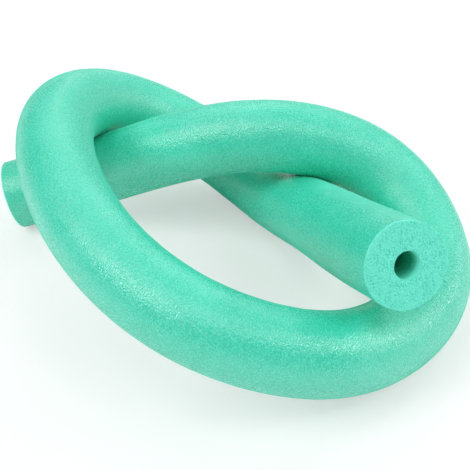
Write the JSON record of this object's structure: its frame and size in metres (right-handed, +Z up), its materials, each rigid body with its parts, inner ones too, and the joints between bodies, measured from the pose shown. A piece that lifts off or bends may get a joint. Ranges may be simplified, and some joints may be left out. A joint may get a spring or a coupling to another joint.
{
  "type": "pool noodle",
  "caption": "Closed-cell foam swimming float: a long round tube with an open bore and square-cut ends, tied in a loose overhand knot.",
  "frame": {"origin": "on the floor, under the middle of the knotted noodle's box in plan", "axes": "+X across the knot, its longest extent, away from the far end; +Y away from the near end; +Z up, its shortest extent"},
  "size_m": [0.4252, 0.3916, 0.1668],
  "materials": {
    "foam": "closed-cell polyethylene foam: a satin extruded skin with a fine pebbled grain, and matt open cells on the cut ends"
  },
  "bodies": {
    "root": {"foam_noodle": "foam"}
  },
  "joints": []
}
